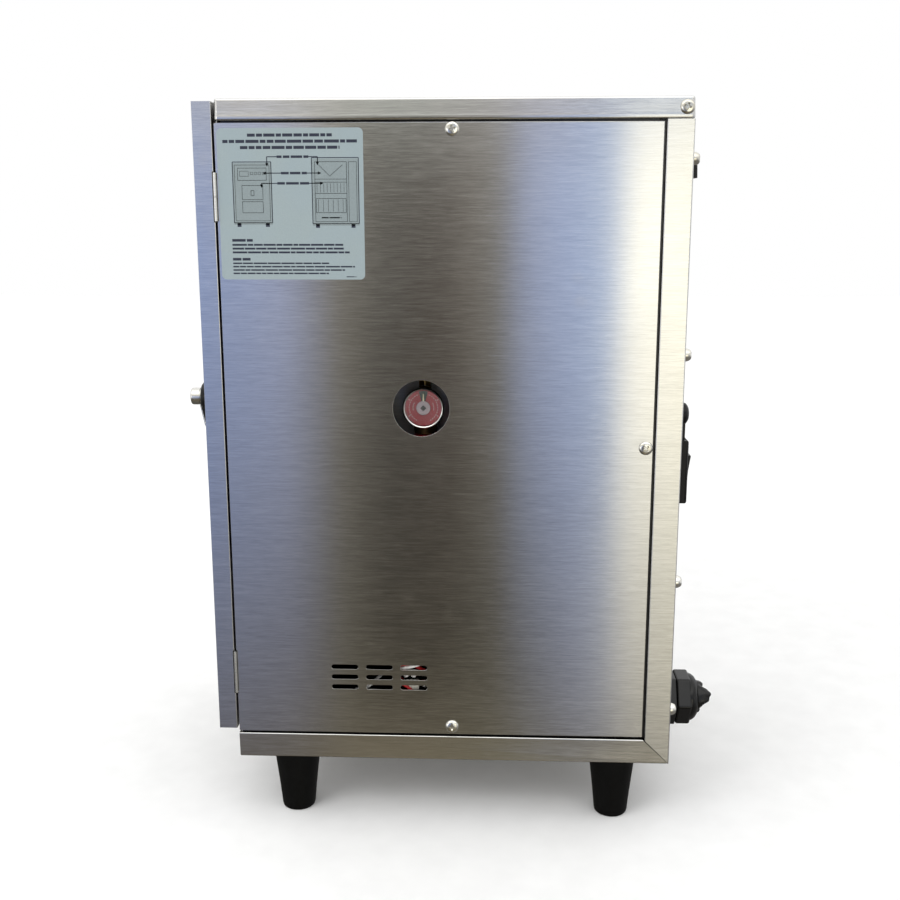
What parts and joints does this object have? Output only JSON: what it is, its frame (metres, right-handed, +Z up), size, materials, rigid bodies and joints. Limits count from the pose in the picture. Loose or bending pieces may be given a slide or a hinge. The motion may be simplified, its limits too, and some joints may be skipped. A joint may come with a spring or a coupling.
{
  "type": "enclosed countertop fryer",
  "caption": "Ventless countertop fryer: stainless cabinet on tapered rubber feet, hinged front door with loading chute and outlet flap, tipping basket, filters, blower and fire suppression.",
  "frame": {"origin": "middle of the whole footprint, knob and cord gland included, at the height of the feet's soles", "axes": "+Z up, +X towards the door's hinge side, which is the object's right-hand side seen from the front, -Y towards the front"},
  "size_m": [0.3821, 0.5728, 0.714],
  "materials": {
    "cover_steel": "horizontally brushed, softly reflective",
    "side_steel": "horizontally brushed, softly reflective",
    "strip_steel": "brushed, bright folded edges",
    "door_steel": "horizontally brushed",
    "inner_steel": "satin, lightly heat-tinted",
    "filter_steel": "satin",
    "basket_wire": "plated wire",
    "element_steel": "dark heat-tinted sheath",
    "galvanised": "dull zinc",
    "filter_aluminium": "mill finish",
    "gauge_metal": "bright plated",
    "knob_metal": "satin plated casting",
    "gauge_face": "printed dial",
    "needle_paint": "painted pointer",
    "cylinder_red": "gloss enamel",
    "brass": "turned brass",
    "handle_red": "dipped vinyl",
    "foot_rubber": "moulded",
    "key_rubber": "moulded keycap",
    "seal_rubber": "torn soft lip",
    "gasket_grey": "sponge strip",
    "black_plastic": "fine moulded grain",
    "control_film": "printed membrane",
    "display_glass": "dark window",
    "label_film": "printed metallised sticker"
  },
  "bodies": {
    "cabinet": {"chassis_base": "strip_steel", "back_panel": "strip_steel", "top_cover": "cover_steel", "side_panel_right": "side_steel", "side_panel_left": "side_steel", "front_frame": "inner_steel", "foot_front_right": "foot_rubber", "foot_front_left": "foot_rubber", "foot_rear_right": "foot_rubber", "foot_rear_left": "foot_rubber", "cavity_liner": "inner_steel", "divider_shelf": "inner_steel", "fry_pot": "inner_steel", "heating_element": "element_steel", "basket_motor": "galvanised", "drain_valve_body": "brass", "grease_filter": "filter_steel", "air_filter_left": "filter_aluminium", "air_filter_right": "filter_aluminium", "fire_damper_frame": "galvanised", "blower_housing": "galvanised", "blower_motor": "galvanised", "suppression_cylinder": "cylinder_red", "suppression_valve": "brass", "suppression_pipe": "galvanised", "gauge_case": "gauge_metal", "gauge_dial": "gauge_face", "hinge_frame_leaf_upper": "galvanised", "hinge_frame_leaf_lower": "galvanised", "hinge_pin_upper": "inner_steel", "hinge_pin_lower": "inner_steel", "exhaust_hood": "strip_steel", "power_switch_body": "black_plastic", "cord_gland_body": "black_plastic", "cord_gland_nut": "black_plastic", "cord_seal": "seal_rubber"},
    "front_door": {"door_panel": "door_steel", "door_inner_panel": "inner_steel", "door_gasket": "gasket_grey", "hinge_door_leaf_upper": "galvanised", "hinge_door_leaf_lower": "galvanised", "control_panel": "control_film", "display_window": "display_glass"},
    "load_chute": {"load_chute_face": "door_steel", "load_chute_bucket": "inner_steel", "load_knob": "knob_metal"},
    "dispense_flap": {"dispense_flap": "door_steel"},
    "door_lock": {"door_lock": "gauge_metal"},
    "key_1": {"key_1": "key_rubber"},
    "key_2": {"key_2": "key_rubber"},
    "key_3": {"key_3": "key_rubber"},
    "key_4": {"key_4": "key_rubber"},
    "basket": {"fry_basket": "basket_wire", "basket_shaft": "basket_wire"},
    "drain_handle": {"drain_valve_handle": "handle_red"},
    "filter_latch": {"filter_latch": "inner_steel"},
    "damper_blade": {"fire_damper_blade": "galvanised"},
    "blower_wheel": {"blower_wheel": "filter_aluminium"},
    "gauge_needle": {"gauge_needle": "needle_paint"},
    "power_rocker": {"power_rocker": "black_plastic"}
  },
  "joints": [
    {"name": "door_swing", "type": "hinge", "parent": "cabinet", "child": "front_door", "pos_m": [0.19, -0.20155, 0.404], "axis": [0, 0, 1], "range_deg": [0, 110]},
    {"name": "chute_tilt", "type": "hinge", "parent": "front_door", "child": "load_chute", "pos_m": [0, -0.2222, 0.338], "axis": [1, 0, 0], "range_deg": [0, 42]},
    {"name": "flap_swing", "type": "hinge", "parent": "front_door", "child": "dispense_flap", "pos_m": [0, -0.2222, 0.326], "axis": [-1, 0, 0], "range_deg": [0, 60]},
    {"name": "lock_turn", "type": "hinge", "parent": "front_door", "child": "door_lock", "pos_m": [-0.1505, -0.22055, 0.17], "axis": [0, -1, 0], "range_deg": [0, 90]},
    {"name": "key_1_press", "type": "slide", "parent": "front_door", "child": "key_1", "axis": [0, 1, 0], "range_m": [0, 0.0015], "stiffness_N_per_m": 400},
    {"name": "key_2_press", "type": "slide", "parent": "front_door", "child": "key_2", "axis": [0, 1, 0], "range_m": [0, 0.0015], "stiffness_N_per_m": 400},
    {"name": "key_3_press", "type": "slide", "parent": "front_door", "child": "key_3", "axis": [0, 1, 0], "range_m": [0, 0.0015], "stiffness_N_per_m": 400},
    {"name": "key_4_press", "type": "slide", "parent": "front_door", "child": "key_4", "axis": [0, 1, 0], "range_m": [0, 0.0015], "stiffness_N_per_m": 400},
    {"name": "basket_tip", "type": "hinge", "parent": "cabinet", "child": "basket", "pos_m": [-0.04, -0.12035, 0.285], "axis": [1, 0, 0], "range_deg": [0, 95]},
    {"name": "drain_turn", "type": "hinge", "parent": "cabinet", "child": "drain_handle", "pos_m": [0.04, -0.18475, 0.166], "axis": [0, 1, 0], "range_deg": [0, 90]},
    {"name": "filter_latch_turn", "type": "hinge", "parent": "cabinet", "child": "filter_latch", "pos_m": [-0.038, -0.18375, 0.5685], "axis": [0, 1, 0], "range_deg": [0, 90]},
    {"name": "damper_close", "type": "hinge", "parent": "cabinet", "child": "damper_blade", "pos_m": [-0.04, -0.09235, 0.644], "axis": [-1, 0, 0], "range_deg": [0, 85]},
    {"name": "blower_spin", "type": "hinge", "parent": "cabinet", "child": "blower_wheel", "pos_m": [-0.04, 0.08765, 0.6], "axis": [0, 1, 0], "continuous": true},
    {"name": "gauge_swing", "type": "hinge", "parent": "cabinet", "child": "gauge_needle", "pos_m": [0.1475, -0.01205, 0.4244], "axis": [1, 0, 0], "range_deg": [-60, 120], "stiffness_Nm_per_rad": 0.002},
    {"name": "rocker_switch", "type": "hinge", "parent": "cabinet", "child": "power_rocker", "pos_m": [0.166, 0.24285, 0.367], "axis": [1, 0, 0], "range_deg": [0, 12]}
  ]
}
